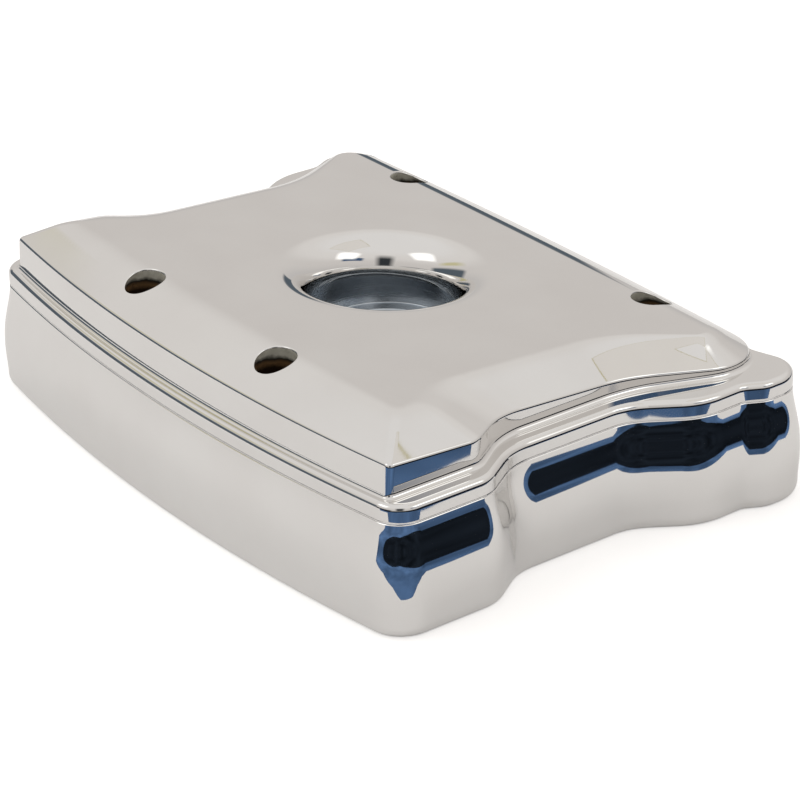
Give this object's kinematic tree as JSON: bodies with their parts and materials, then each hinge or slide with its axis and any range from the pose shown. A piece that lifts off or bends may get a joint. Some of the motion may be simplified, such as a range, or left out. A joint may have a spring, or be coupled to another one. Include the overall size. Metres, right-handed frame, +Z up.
{
  "type": "engine valve cover",
  "caption": "Polished cast valve cover with a flat raised deck, a round plug well, bowed front edge, waisted sides, stepped skirt and counterbored screw holes in the deck.",
  "frame": {"origin": "on the rim plane, under the middle of the cover's plan", "axes": "+X along the bowed front edge, to the right; +Y from the front edge to the far edge; +Z up from the rim to the deck, along the plug well"},
  "size_m": [0.205, 0.1436, 0.0511],
  "materials": {
    "polished_casting": "mirror polished outside, as cast inside",
    "seal_rubber": "matt"
  },
  "bodies": {
    "root": {"valve_cover": "polished_casting", "perimeter_gasket": "seal_rubber", "plug_well_seal": "seal_rubber"}
  },
  "joints": []
}
